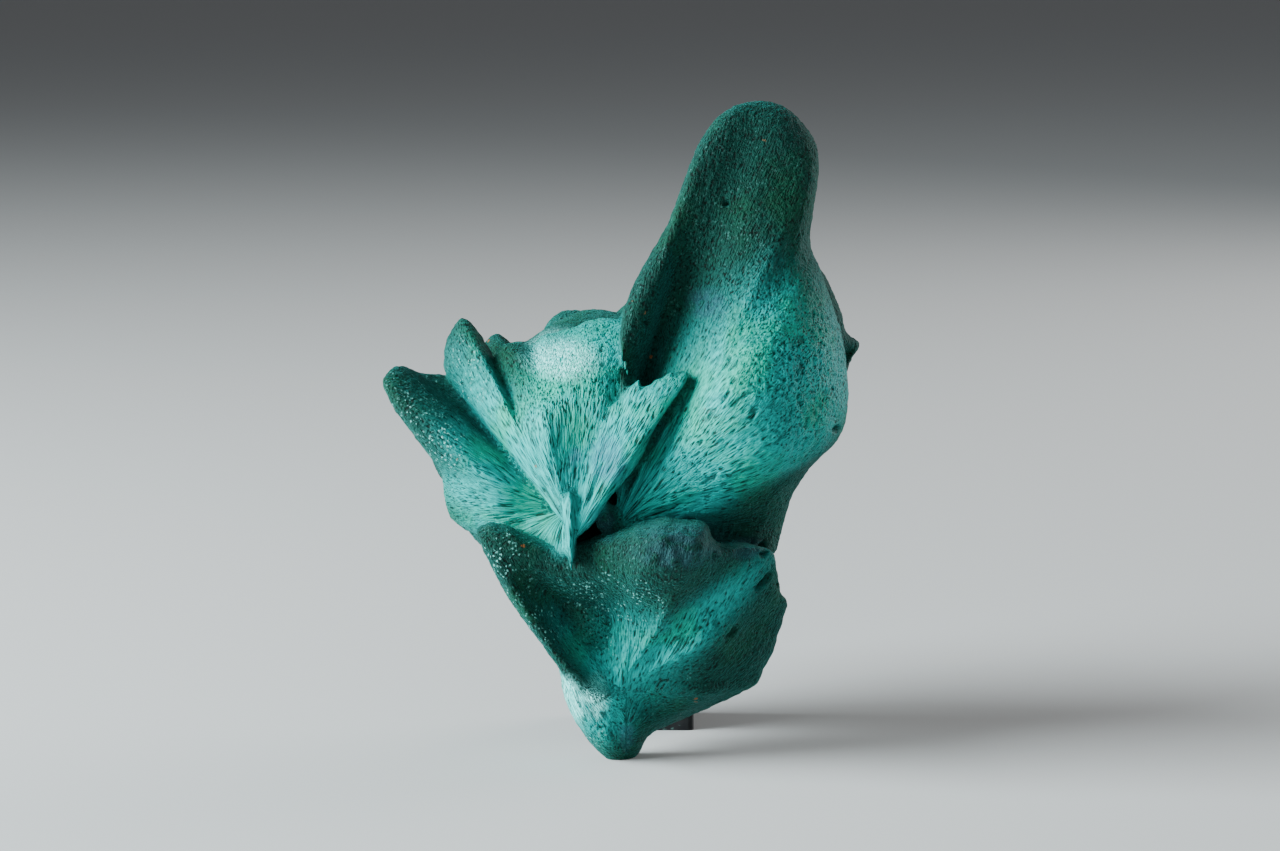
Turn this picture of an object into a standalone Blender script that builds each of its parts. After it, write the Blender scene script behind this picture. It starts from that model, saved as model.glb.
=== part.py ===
"""A velvet malachite specimen, standing on its pointed foot and leaning on a small black prop.

The stone is one solid. It grew as overlapping petals: in each one, silky fibres fan out from a root
to a rounded, velvety rim. The back is a cluster of rounded lobes.

Sizes are in millimetres and become metres at the end. X runs to the right, Y away from the viewer
and Z up. The origin is the point of the foot, where the stone touches what it stands on.
"""

import math

import bmesh
import bpy
import numpy as np

MM = 0.001

# Driving dimensions.
VOXEL = 0.4  # how finely the petals and lobes are merged into one solid
TARGET_TRIANGLES = 7000
SMOOTHING_ROUNDS = 6

STEPS_PER_ROW = 4  # lengthwise sections between two rows of a petal
PROFILE_STEPS = 14  # points from root to rim on each face of a petal

PROP_LEFT = -2.6
PROP_RIGHT = 5.2
PROP_FRONT = 9.6
PROP_SHOULDER = 11.6
PROP_BACK = 16.5
PROP_FRONT_HEIGHT = 5.6
PROP_BACK_HEIGHT = 8.4
PROP_BEVEL = 0.4

FRONTWARD = (0.0, -1.0, 0.0)
BACKWARD = (0.0, 1.0, 0.0)

# A petal is its root, the way it faces, and rows along its rim. A row is the rim's x, y and z, then
# how far the front face swells halfway out, how thick the rim is in front, and how thick behind.
TALL_LOBE = (
    (-0.5, -4.6, 17.0),
    FRONTWARD,
    [
        (0.6, -2.6, 26.7, 0.0, 0.6, 3.0),
        (-0.1, -1.8, 30.0, -0.6, 0.8, 4.0),
        (0.4, -1.0, 32.6, -1.2, 1.0, 5.0),
        (1.6, -0.3, 35.0, -1.8, 1.2, 5.0),
        (3.2, 0.4, 37.7, -2.6, 1.3, 4.5),
        (4.3, 1.0, 40.5, -3.0, 1.3, 3.5),
        (5.5, 1.6, 43.5, -3.0, 1.4, 3.5),
        (7.2, 2.2, 45.6, -2.4, 1.4, 3.5),
        (9.5, 3.0, 46.3, -1.4, 1.5, 3.5),
        (11.8, 3.5, 45.6, 0.0, 2.0, 3.5),
        (13.5, 4.0, 43.5, 1.4, 2.4, 3.5),
        (13.8, 4.2, 41.4, 2.5, 2.8, 3.5),
        (13.4, 4.5, 38.5, 3.2, 3.4, 4.0),
        (13.1, 4.5, 36.0, 4.0, 4.2, 4.5),
        (13.8, 4.5, 34.0, 4.6, 5.0, 5.0),
        (14.8, 4.5, 30.7, 4.6, 5.5, 5.0),
        (15.3, 5.0, 27.7, 4.6, 5.3, 5.0),
        (15.5, 5.0, 25.0, 4.4, 4.8, 5.0),
        (14.9, 5.0, 22.4, 3.4, 4.2, 5.0),
        (13.2, 4.0, 20.6, 2.4, 3.4, 5.0),
        (11.9, 3.0, 18.7, 1.5, 2.8, 5.0),
        (11.3, 3.0, 16.6, 0.6, 2.2, 6.0),
        (10.8, 2.0, 14.4, 0.3, 1.8, 5.0),
    ],
)
TONGUE = (
    (-3.3, -6.6, 16.5),
    FRONTWARD,
    [
        (-1.9, -4.8, 22.6, 0.4, 0.3, 2.0),
        (-0.6, -3.8, 25.2, 0.4, 0.3, 2.0),
        (0.7, -3.4, 26.9, 0.3, 0.4, 2.0),
        (2.0, -3.7, 27.5, 0.4, 0.4, 2.0),
        (3.2, -3.9, 27.5, 0.5, 0.4, 2.0),
        (4.4, -3.9, 27.3, 0.5, 0.4, 2.0),
        (3.7, -3.9, 26.1, 0.5, 0.4, 2.0),
        (2.6, -4.0, 24.6, 0.4, 0.4, 2.0),
        (1.3, -4.2, 21.8, 0.4, 0.4, 2.0),
        (-0.5, -4.8, 19.7, 0.3, 0.4, 2.0),
        (-1.6, -5.6, 17.7, 0.2, 0.3, 2.0),
    ],
)
SPIKE = (
    (-3.5, -7.2, 14.0),
    FRONTWARD,
    [
        (-4.2, -5.2, 19.0, 0.2, 0.2, 2.5),
        (-3.6, -5.8, 19.8, 0.4, 0.4, 2.5),
        (-2.8, -5.2, 19.0, 0.2, 0.2, 2.5),
    ],
)
CENTRE_FAN = (
    (-3.5, -6.4, 17.0),
    FRONTWARD,
    [
        (-12.6, 5.2, 26.4, -0.4, 0.0, 3.0),
        (-12.8, 4.6, 27.6, 0.2, 0.5, 3.0),
        (-12.4, 4.0, 29.4, 0.8, 0.8, 3.0),
        (-11.3, 4.0, 30.9, 1.2, 1.0, 2.5),
        (-10.1, 3.8, 29.8, 1.5, 0.9, 2.5),
        (-9.2, 2.8, 28.2, 1.6, 0.6, 3.0),
        (-8.7, 2.5, 28.9, 1.7, 0.8, 3.5),
        (-7.5, 2.2, 29.3, 1.9, 0.9, 4.0),
        (-6.4, 3.2, 28.9, 2.6, 1.5, 5.0),
        (-5.4, 4.3, 29.4, 2.7, 2.0, 5.0),
        (-3.7, 5.4, 29.6, 2.9, 2.8, 6.0),
        (-2.1, 5.8, 30.2, 2.8, 3.0, 6.0),
        (-0.4, 5.0, 30.4, 2.4, 2.8, 6.0),
        (0.6, 3.4, 29.9, 1.8, 2.2, 6.0),
        (1.0, 1.0, 28.2, 1.1, 1.4, 5.0),
        (1.2, -2.0, 26.5, 0.8, 0.5, 4.0),
    ],
)
LEFT_LOBE = (
    (-3.9, -3.0, 18.1),
    FRONTWARD,
    [
        (-10.8, 7.0, 28.6, 0.0, 0.0, 3.0),
        (-11.9, 6.5, 26.7, -0.5, -0.2, 3.0),
        (-13.1, 5.5, 26.8, -0.5, 0.0, 2.5),
        (-14.3, 4.5, 26.9, -0.3, 0.4, 2.5),
        (-15.5, 3.0, 27.6, 0.0, 0.8, 2.5),
        (-16.4, 2.0, 27.5, 0.3, 1.0, 2.5),
        (-16.8, 1.0, 26.7, 0.6, 1.2, 2.5),
        (-16.4, 0.5, 25.5, 0.8, 1.2, 2.5),
        (-15.4, 0.0, 24.0, 1.0, 1.2, 3.0),
        (-13.8, 0.0, 21.9, 1.2, 1.2, 3.5),
        (-12.7, 0.5, 20.3, 1.0, 1.0, 4.0),
        (-12.6, 1.0, 18.8, 0.8, 0.8, 4.0),
        (-12.3, 1.5, 17.3, 0.6, 0.8, 4.0),
        (-11.5, 1.5, 16.3, 0.5, 0.8, 4.0),
        (-10.3, 1.0, 15.8, 0.3, 0.6, 4.0),
        (-7.8, -1.0, 15.4, 0.3, 0.5, 4.0),
        (-5.3, -4.0, 15.3, 0.2, 0.4, 3.0),
        (-4.0, -5.8, 15.4, 0.2, 0.3, 2.0),
    ],
)
LOWER_BLOCK = (
    (-0.5, -4.0, 5.5),
    FRONTWARD,
    [
        (-1.5, -6.3, 5.0, 0.2, 0.4, 1.2),
        (-3.2, -6.0, 6.1, 0.3, 0.6, 1.4),
        (-4.7, -5.3, 7.8, 0.4, 1.0, 1.8),
        (-6.4, -4.5, 10.0, 0.2, 1.5, 3.0),
        (-7.8, -4.0, 11.9, 0.2, 1.8, 4.0),
        (-8.8, -4.0, 13.7, 0.0, 1.9, 4.0),
        (-9.8, -4.0, 15.8, -0.4, 1.8, 4.0),
        (-10.0, -4.0, 16.8, -0.8, 1.8, 4.0),
        (-9.3, -4.0, 17.3, -1.2, 1.8, 4.0),
        (-8.0, -4.3, 17.1, -2.2, 1.6, 4.0),
        (-6.3, -4.5, 16.2, -2.6, 1.2, 4.0),
        (-4.2, -4.8, 15.6, -2.6, 1.0, 4.0),
        (-2.2, -5.5, 16.1, -2.4, 1.0, 5.0),
        (0.2, -7.0, 16.8, -2.0, 1.2, 5.0),
        (2.3, -8.5, 17.3, -1.4, 1.4, 5.5),
        (5.4, -8.5, 17.2, -0.6, 1.4, 5.5),
        (6.3, -7.0, 15.8, 0.4, 1.0, 5.5),
        (8.2, -5.0, 15.8, 0.6, 1.0, 6.0),
        (9.6, -3.8, 15.5, 0.9, 1.0, 6.0),
        (10.7, -2.5, 14.8, 1.4, 1.0, 5.0),
        (11.1, -0.5, 12.1, 2.2, 1.2, 5.0),
        (11.7, 1.0, 11.0, 2.4, 1.0, 5.0),
        (11.4, 1.5, 9.6, 2.0, 1.2, 5.0),
        (10.5, 2.0, 7.2, 1.6, 1.5, 4.0),
        (9.5, 2.5, 5.1, 1.0, 1.5, 3.0),
    ],
)
FOOT = (
    (-0.5, -4.0, 5.5),
    FRONTWARD,
    [
        (-4.5, -2.5, 7.8, 0.3, 0.5, 3.0),
        (-4.1, -1.5, 5.2, 0.8, 1.0, 4.0),
        (-3.3, -0.5, 3.3, 1.2, 1.2, 4.0),
        (-2.3, -0.2, 1.5, 1.0, 1.2, 3.0),
        (-1.1, 0.0, 0.1, 0.8, 1.0, 2.0),
        (0.0, 0.3, -0.5, 0.4, 0.9, 1.8),
        (1.1, 0.7, 0.3, 0.6, 1.0, 2.0),
        (2.0, 1.5, 1.7, 1.0, 1.0, 3.0),
        (4.8, 4.0, 2.5, 1.5, 1.0, 3.0),
        (8.4, 4.0, 4.1, 2.0, 1.2, 3.0),
        (9.5, 3.0, 4.9, 2.0, 1.5, 4.0),
        (9.9, 2.6, 6.0, 1.7, 1.4, 4.0),
    ],
)
BACK_TALL = (
    (2.0, 8.0, 19.0),
    BACKWARD,
    [
        (-0.6, 5.0, 30.0, 1.0, 2.0, 4.0),
        (1.6, 4.5, 34.4, 1.5, 2.0, 4.0),
        (4.8, 4.5, 39.6, 2.5, 1.5, 3.0),
        (7.3, 5.0, 44.0, 3.0, 1.5, 2.0),
        (10.0, 5.5, 45.3, 2.0, 1.6, 2.0),
        (12.6, 5.8, 43.6, 1.5, 1.6, 2.0),
        (12.8, 6.2, 39.0, 2.5, 2.0, 3.0),
        (12.4, 7.5, 35.0, 3.0, 2.5, 4.0),
    ],
)
BACK_RIGHT = (
    (4.0, 9.0, 20.0),
    BACKWARD,
    [
        (12.2, 9.5, 35.6, 1.0, 1.5, 4.0),
        (14.4, 11.5, 33.6, 1.5, 2.2, 4.0),
        (15.7, 13.0, 30.7, 1.5, 2.4, 4.0),
        (16.2, 13.8, 28.9, 1.0, 1.6, 3.0),
        (17.4, 14.4, 27.9, 1.5, 0.8, 1.0),
        (16.4, 13.6, 26.5, 0.8, 1.4, 2.5),
        (15.6, 12.5, 23.8, 1.2, 2.0, 4.0),
        (13.8, 11.0, 20.2, 1.5, 2.0, 4.0),
        (11.2, 9.5, 17.2, 1.0, 1.8, 4.0),
    ],
)
BACK_LEFT = (
    (0.0, 8.0, 19.5),
    BACKWARD,
    [
        (0.5, 10.0, 30.6, 1.5, 2.0, 5.0),
        (-2.3, 12.0, 30.5, 2.5, 2.5, 5.0),
        (-5.0, 11.5, 29.6, 2.0, 2.5, 5.0),
        (-7.6, 9.5, 28.4, 1.5, 1.5, 4.0),
        (-9.3, 9.0, 29.2, 2.5, 2.0, 3.0),
        (-11.0, 8.0, 26.6, 3.0, 2.5, 3.0),
        (-12.3, 6.5, 23.0, 2.5, 2.0, 3.0),
        (-11.4, 5.5, 19.0, 2.0, 2.5, 3.0),
        (-8.6, 5.0, 16.6, 1.5, 2.0, 4.0),
    ],
)
BACK_LOW = (
    (2.0, 7.0, 18.0),
    BACKWARD,
    [
        (-7.4, 2.0, 14.6, 1.0, 1.5, 4.0),
        (-5.8, 2.5, 10.4, 2.5, 2.0, 4.0),
        (-3.4, 3.0, 6.4, 2.5, 2.5, 4.0),
        (-0.6, 4.0, 4.0, 3.0, 2.5, 5.0),
        (3.0, 6.0, 4.2, 4.5, 3.0, 6.0),
        (6.6, 6.5, 5.0, 3.5, 3.0, 5.0),
        (9.4, 5.0, 7.4, 2.5, 2.5, 4.0),
        (10.4, 4.5, 11.2, 3.0, 2.5, 4.0),
        (10.6, 5.0, 15.4, 2.0, 2.0, 4.0),
    ],
)
PETALS = [
    TALL_LOBE,
    TONGUE,
    SPIKE,
    CENTRE_FAN,
    LEFT_LOBE,
    LOWER_BLOCK,
    FOOT,
    BACK_TALL,
    BACK_RIGHT,
    BACK_LEFT,
    BACK_LOW,
]

# A lobe is an ellipsoid: its centre, its three radii, and how far it leans to the right in degrees.
LOBES = [
    ((4.0, 3.5, 16.5), (6.8, 6.0, 5.0), 0.0),
    ((-3.6, 2.0, 20.5), (5.0, 5.5, 5.0), 0.0),
    ((-2.8, 1.2, 11.0), (4.0, 4.6, 6.0), -25.0),
    ((-1.1, -4.4, 17.8), (0.8, 0.7, 1.1), 0.0),
    ((2.4, 15.6, 25.6), (5.0, 5.2, 6.8), 26.0),
    ((-2.6, 16.8, 21.4), (5.2, 6.0, 7.4), 12.0),
    ((-8.2, 14.0, 21.8), (5.4, 6.2, 6.2), -14.0),
    ((7.4, 12.2, 21.4), (3.4, 3.4, 4.8), 35.0),
    ((3.6, 15.2, 17.0), (5.0, 5.0, 4.6), -20.0),
    ((-6.8, 12.0, 16.8), (5.2, 6.0, 4.8), 15.0),
    ((-0.2, 12.8, 12.8), (6.0, 5.0, 4.0), 8.0),
    ((6.6, 10.2, 12.8), (3.4, 4.2, 4.0), 15.0),
    ((-3.6, 17.6, 27.0), (2.6, 2.4, 3.2), -10.0),
    ((-6.8, 18.2, 17.4), (4.4, 4.8, 5.0), -10.0),
    ((-10.4, 13.8, 20.8), (3.8, 4.6, 4.4), -8.0),
    ((-7.4, 20.0, 22.6), (4.6, 4.2, 5.0), -6.0),
]


def smoothstep(low, high, value):
    part = np.clip((value - low) / (high - low), 0.0, 1.0)
    return part * part * (3.0 - 2.0 * part)


def through(rows, steps):
    """Sections on one smooth curve through the rows, with the given steps in each span."""
    rows = np.array(rows, float)
    ends = np.vstack([2 * rows[0] - rows[1], rows, 2 * rows[-1] - rows[-2]])
    t = np.linspace(0.0, 1.0, steps, endpoint=False)[:, None]
    spans = []
    for a, b, c, d in zip(ends, ends[1:], ends[2:], ends[3:]):
        bend = (2 * a - 5 * b + 4 * c - d) * t**2 + (3 * b - a - 3 * c + d) * t**3
        spans.append(b + 0.5 * ((c - a) * t + bend))
    return np.vstack(spans + [rows[-1:]])


def section(root, face, column):
    """One closed loop of a petal: out along its front face to the rim, and home along its back."""
    rim, swell, front, back = column[:3], column[3], column[4], column[5]
    chord = rim - root
    length = np.linalg.norm(chord)
    out = face - chord * (face @ chord) / length**2
    out /= np.linalg.norm(out)
    v = np.sin(0.5 * math.pi * np.linspace(0.0, 1.0, PROFILE_STEPS + 1))[1:-1]
    rounding = min(0.5 * (abs(front) + back) / length, 0.45)
    cap = np.sqrt(1.0 - np.clip((v - 1.0 + rounding) / rounding, 0.0, 1.0) ** 2)
    hump = np.exp(-(((v - 0.45) / 0.26) ** 2))
    ahead = (swell * hump + front * smoothstep(0.2, 0.8, v)) * cap
    behind = back * (0.15 + 0.85 * smoothstep(0.0, 0.6, v)) * cap
    along = root + v[:, None] * chord
    return np.vstack([along + ahead[:, None] * out, rim, (along - behind[:, None] * out)[::-1]])


def add_petal(mesh, petal):
    """A closed petal: sections side by side, which all meet at the root."""
    root, face, rows = np.array(petal[0]), np.array(petal[1]), petal[2]
    tip = mesh.verts.new(root)
    loops = []
    for column in through(rows, STEPS_PER_ROW):
        loops.append([mesh.verts.new(point) for point in section(root, face, column)])
    for one, two in zip(loops, loops[1:]):
        mesh.faces.new([tip, one[0], two[0]])
        mesh.faces.new([tip, two[-1], one[-1]])
        for i in range(len(one) - 1):
            mesh.faces.new([one[i], one[i + 1], two[i + 1], two[i]])
    mesh.faces.new([tip] + loops[0][::-1])
    mesh.faces.new([tip] + loops[-1])


def add_lobe(mesh, lobe):
    centre, radii, lean = lobe
    made = bmesh.ops.create_icosphere(mesh, subdivisions=4, radius=1.0)["verts"]
    turn = math.radians(lean)
    for vert in made:
        x, y, z = (c * r for c, r in zip(vert.co, radii))
        x, z = x * math.cos(turn) + z * math.sin(turn), z * math.cos(turn) - x * math.sin(turn)
        vert.co = (centre[0] + x, centre[1] + y, centre[2] + z)


def new_object(name, mesh, material):
    """Puts a mesh that was drawn in millimetres into the scene, in metres."""
    bmesh.ops.recalc_face_normals(mesh, faces=mesh.faces)
    bmesh.ops.scale(mesh, vec=(MM, MM, MM), verts=mesh.verts)
    data = bpy.data.meshes.new(name)
    mesh.to_mesh(data)
    mesh.free()
    obj = bpy.data.objects.new(name, data)
    bpy.context.scene.collection.objects.link(obj)
    if material:
        data.materials.append(material)
    return obj


def new_material(name, colour, roughness):
    material = bpy.data.materials.new(name)
    material.use_nodes = True
    shader = material.node_tree.nodes["Principled BSDF"]
    shader.inputs["Base Color"].default_value = (*colour, 1.0)
    shader.inputs["Roughness"].default_value = roughness
    shader.inputs["Metallic"].default_value = 0.0
    return material


def make_table_cutter():
    """What lies under the foot: it wears the round tip to a small flat."""
    size, depth = 60.0, 10.0
    mesh = bmesh.new()
    bmesh.ops.create_cube(mesh, size=1.0)
    bmesh.ops.scale(mesh, vec=(size, size, depth), verts=mesh.verts)
    bmesh.ops.translate(mesh, vec=(0.0, 0.0, -0.5 * depth), verts=mesh.verts)
    cutter = new_object("table_cutter", mesh, None)
    cutter.hide_render = True
    cutter.display_type = "WIRE"
    return cutter


def make_stone(cutter):
    mesh = bmesh.new()
    for petal in PETALS:
        add_petal(mesh, petal)
    for lobe in LOBES:
        add_lobe(mesh, lobe)
    stone = new_object("velvet_malachite", mesh, new_material("malachite", (0.04, 0.27, 0.2), 0.6))

    merge = stone.modifiers.new("merge", "REMESH")
    merge.mode = "VOXEL"
    merge.voxel_size = VOXEL * MM
    soften = stone.modifiers.new("soften", "SMOOTH")
    soften.iterations = SMOOTHING_ROUNDS
    count = triangles(stone)
    thin = stone.modifiers.new("thin", "DECIMATE")
    thin.ratio = min(1.0, TARGET_TRIANGLES / count)
    flat = stone.modifiers.new("flat_foot", "BOOLEAN")
    flat.operation = "DIFFERENCE"
    flat.solver = "EXACT"
    flat.object = cutter
    return stone


def triangles(obj):
    """How many triangles an object has after the modifiers so far."""
    graph = bpy.context.evaluated_depsgraph_get()
    data = obj.evaluated_get(graph).to_mesh()
    data.calc_loop_triangles()
    count = len(data.loop_triangles)
    obj.evaluated_get(graph).to_mesh_clear()
    return count


def make_prop():
    """The small black wedge behind the foot, with a top that follows the stone's slanted underside."""
    outline = [
        (PROP_FRONT, 0.0),
        (PROP_BACK, 0.0),
        (PROP_BACK, PROP_BACK_HEIGHT),
        (PROP_SHOULDER, PROP_BACK_HEIGHT),
        (PROP_FRONT, PROP_FRONT_HEIGHT),
    ]
    mesh = bmesh.new()
    side = mesh.faces.new([mesh.verts.new((PROP_LEFT, y, z)) for y, z in outline])
    grown = bmesh.ops.extrude_face_region(mesh, geom=[side])["geom"]
    moved = [part for part in grown if isinstance(part, bmesh.types.BMVert)]
    bmesh.ops.translate(mesh, vec=(PROP_RIGHT - PROP_LEFT, 0.0, 0.0), verts=moved)
    upper = [edge for edge in mesh.edges if max(vert.co.z for vert in edge.verts) > 0.0]
    bmesh.ops.bevel(mesh, geom=upper, offset=PROP_BEVEL, segments=2, profile=0.5, affect="EDGES")
    return new_object("rear_prop", mesh, new_material("black_rubber", (0.01, 0.011, 0.012), 0.6))


def main():
    for obj in list(bpy.data.objects):
        bpy.data.objects.remove(obj)
    make_stone(make_table_cutter())
    make_prop()


main()
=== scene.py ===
# %% [markdown]
# # A velvet malachite specimen
# Velvet malachite grows as sprays of hair-thin green fibres. Each spray starts at one point and
# spreads like a fan. Broken open, a fan shows its fibres lengthwise and shines like silk. Its outer
# rim, where every fibre ends, is rounded and soft-looking, like velvet.
#
# The stone here is a cluster of such fans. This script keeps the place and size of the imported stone
# and remakes its skin finely enough to carry the fibres.

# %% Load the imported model
import math
from collections import namedtuple

import bpy
import numpy as np
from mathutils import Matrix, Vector
from mathutils.kdtree import KDTree


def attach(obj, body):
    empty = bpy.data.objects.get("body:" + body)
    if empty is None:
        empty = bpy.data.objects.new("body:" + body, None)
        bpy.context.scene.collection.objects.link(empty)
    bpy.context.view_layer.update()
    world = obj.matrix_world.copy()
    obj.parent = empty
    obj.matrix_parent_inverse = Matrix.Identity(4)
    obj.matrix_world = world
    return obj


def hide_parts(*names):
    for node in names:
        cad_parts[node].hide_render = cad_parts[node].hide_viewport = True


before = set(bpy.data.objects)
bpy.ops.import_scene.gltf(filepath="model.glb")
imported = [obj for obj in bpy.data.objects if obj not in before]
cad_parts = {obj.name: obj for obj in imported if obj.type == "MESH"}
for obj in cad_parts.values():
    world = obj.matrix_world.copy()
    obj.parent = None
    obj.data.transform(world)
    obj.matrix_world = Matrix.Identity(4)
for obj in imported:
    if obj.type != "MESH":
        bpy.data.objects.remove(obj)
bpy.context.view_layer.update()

# %% [markdown]
# ## The camera
# The stone is small, so the camera is close, with a long lens that keeps it from looking stretched.
# It looks down by a few degrees, which shows a little of the table and of every ledge.

# %% Camera
MM = 0.001
CAMERA_DISTANCE = 0.3
CAMERA_TILT = math.radians(7.0)
AIM = Vector((1.27, 0.0, 23.67)) * MM

lens = bpy.data.cameras.new("camera")
lens.lens = 120.0
lens.sensor_width = 36.0
lens.clip_start = 0.01
camera = bpy.data.objects.new("camera", lens)
towards_camera = Vector((0.0, -math.cos(CAMERA_TILT), math.sin(CAMERA_TILT)))
camera.location = AIM + CAMERA_DISTANCE * towards_camera
camera.rotation_euler = towards_camera.to_track_quat("Z", "Y").to_euler()
bpy.context.scene.collection.objects.link(camera)
bpy.context.scene.camera = camera
print("camera at", [round(c, 3) for c in camera.location])

# %% [markdown]
# ## Floor and light
# A plain pale floor takes the shadow, and is wide enough that its far edge stays out of view. The
# main light is a wide soft window on the left, a little above the stone. It grazes the fibres, so
# every ridge gets a bright side and a dark side. A weak light in front keeps the shaded side
# readable, and another, behind on the right, outlines the far edge of the stone.

# %% Floor
FLOOR_SIZE = 12.0
floor_mesh = bpy.data.meshes.new("floor")
half = 0.5 * FLOOR_SIZE
corners = [(-half, -half, 0.0), (half, -half, 0.0), (half, half, 0.0), (-half, half, 0.0)]
floor_mesh.from_pydata(corners, [], [(0, 1, 2, 3)])
floor = bpy.data.objects.new("floor", floor_mesh)
bpy.context.scene.collection.objects.link(floor)
floor_material = bpy.data.materials.new("floor")
floor_material.use_nodes = True
floor_shader = floor_material.node_tree.nodes["Principled BSDF"]
floor_shader.inputs["Base Color"].default_value = (0.62, 0.61, 0.6, 1.0)
floor_shader.inputs["Roughness"].default_value = 0.8
floor_mesh.materials.append(floor_material)
print("floor:", FLOOR_SIZE, "m square")


# %% Lights
def add_light(name, place, size, power, colour=(1.0, 1.0, 1.0)):
    """A square soft light at a place given in metres, turned towards the stone."""
    light = bpy.data.lights.new(name, "AREA")
    light.size = size
    light.energy = power
    light.color = colour
    lamp = bpy.data.objects.new(name, light)
    lamp.location = place
    lamp.rotation_euler = (Vector(place) - AIM).to_track_quat("Z", "Y").to_euler()
    bpy.context.scene.collection.objects.link(lamp)


add_light("window", (-0.4, -0.1, 0.17), 0.36, 10.0, (0.84, 0.96, 1.0))
add_light("front_fill", (0.1, -0.55, 0.25), 0.4, 0.45)
add_light("back_rim", (0.36, 0.28, 0.14), 0.3, 1.5)
world = bpy.data.worlds.new("room")
world.use_nodes = True
world.node_tree.nodes["Background"].inputs["Color"].default_value = (0.8, 0.85, 0.9, 1.0)
world.node_tree.nodes["Background"].inputs["Strength"].default_value = 0.14
bpy.context.scene.world = world

# %% [markdown]
# ## The petals
# A petal is one fan. It has a root, where its fibres meet, and a list of rows along its rim. A row
# holds, in millimetres, the rim's x, y and z, then how far the front swells halfway out, how thick
# the rim is in front and behind, and last what share of the way out is silk before velvet begins.
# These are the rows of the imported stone, so the fine skin fits it everywhere. After the rows come
# how ragged the rim is and, where the fibres don't start at the root, the place they spring from.

# %% Petal rows: the tall lobe and the tongue in front of it
Petal = namedtuple("Petal", "name root face rows jag spring", defaults=[None])
FRONTWARD = (0.0, -1.0, 0.0)
BACKWARD = (0.0, 1.0, 0.0)

TALL_LOBE = Petal(
    "tall_lobe",
    (-0.5, -4.6, 17.0),
    FRONTWARD,
    [
        (0.6, -2.6, 26.7, 0.0, 0.6, 3.0, 0.2),
        (-0.1, -1.8, 30.0, -0.6, 0.8, 4.0, 0.2),
        (0.4, -1.0, 32.6, -1.2, 1.0, 5.0, 0.2),
        (1.6, -0.3, 35.0, -1.8, 1.2, 5.0, 0.2),
        (3.2, 0.4, 37.7, -2.6, 1.3, 4.5, 0.2),
        (4.3, 1.0, 40.5, -3.0, 1.3, 3.5, 0.2),
        (5.5, 1.6, 43.5, -3.0, 1.4, 3.5, 0.22),
        (7.2, 2.2, 45.6, -2.4, 1.4, 3.5, 0.26),
        (9.5, 3.0, 46.3, -1.4, 1.5, 3.5, 0.32),
        (11.8, 3.5, 45.6, 0.0, 2.0, 3.5, 0.4),
        (13.5, 4.0, 43.5, 1.4, 2.4, 3.5, 0.48),
        (13.8, 4.2, 41.4, 2.5, 2.8, 3.5, 0.58),
        (13.4, 4.5, 38.5, 3.2, 3.4, 4.0, 0.66),
        (13.1, 4.5, 36.0, 4.0, 4.2, 4.5, 0.75),
        (13.8, 4.5, 34.0, 4.6, 5.0, 5.0, 0.85),
        (14.8, 4.5, 30.7, 4.6, 5.5, 5.0, 1.0),
        (15.3, 5.0, 27.7, 4.6, 5.3, 5.0, 1.1),
        (15.5, 5.0, 25.0, 4.4, 4.8, 5.0, 1.05),
        (14.9, 5.0, 22.4, 3.4, 4.2, 5.0, 0.75),
        (13.2, 4.0, 20.6, 2.4, 3.4, 5.0, 0.5),
        (11.9, 3.0, 18.7, 1.5, 2.8, 5.0, 0.4),
        (11.3, 3.0, 16.6, 0.6, 2.2, 6.0, 0.35),
        (10.8, 2.0, 14.4, 0.3, 1.8, 5.0, 0.3),
    ],
    0.0,
)
TONGUE = Petal(
    "tongue",
    (-3.3, -6.6, 16.5),
    FRONTWARD,
    [
        (-1.9, -4.8, 22.6, 0.4, 0.3, 2.0, 1.1),
        (-0.6, -3.8, 25.2, 0.4, 0.3, 2.0, 1.1),
        (0.7, -3.4, 26.9, 0.3, 0.4, 2.0, 1.1),
        (2.0, -3.7, 27.5, 0.4, 0.4, 2.0, 1.1),
        (3.2, -3.9, 27.5, 0.5, 0.4, 2.0, 1.1),
        (4.4, -3.9, 27.3, 0.5, 0.4, 2.0, 1.1),
        (3.7, -3.9, 26.1, 0.5, 0.4, 2.0, 1.1),
        (2.6, -4.0, 24.6, 0.4, 0.4, 2.0, 1.1),
        (1.3, -4.2, 21.8, 0.4, 0.4, 2.0, 1.1),
        (-0.5, -4.8, 19.7, 0.3, 0.4, 2.0, 1.1),
        (-1.6, -5.6, 17.7, 0.2, 0.3, 2.0, 1.1),
    ],
    1.1,
)
SPIKE = Petal(
    "spike",
    (-3.5, -7.2, 14.0),
    FRONTWARD,
    [
        (-4.2, -5.2, 19.0, 0.2, 0.2, 2.5, 1.1),
        (-3.6, -5.8, 19.8, 0.4, 0.4, 2.5, 1.1),
        (-2.8, -5.2, 19.0, 0.2, 0.2, 2.5, 1.1),
    ],
    0.0,
)
print("tall lobe rows:", len(TALL_LOBE.rows), "tongue rows:", len(TONGUE.rows))

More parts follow.
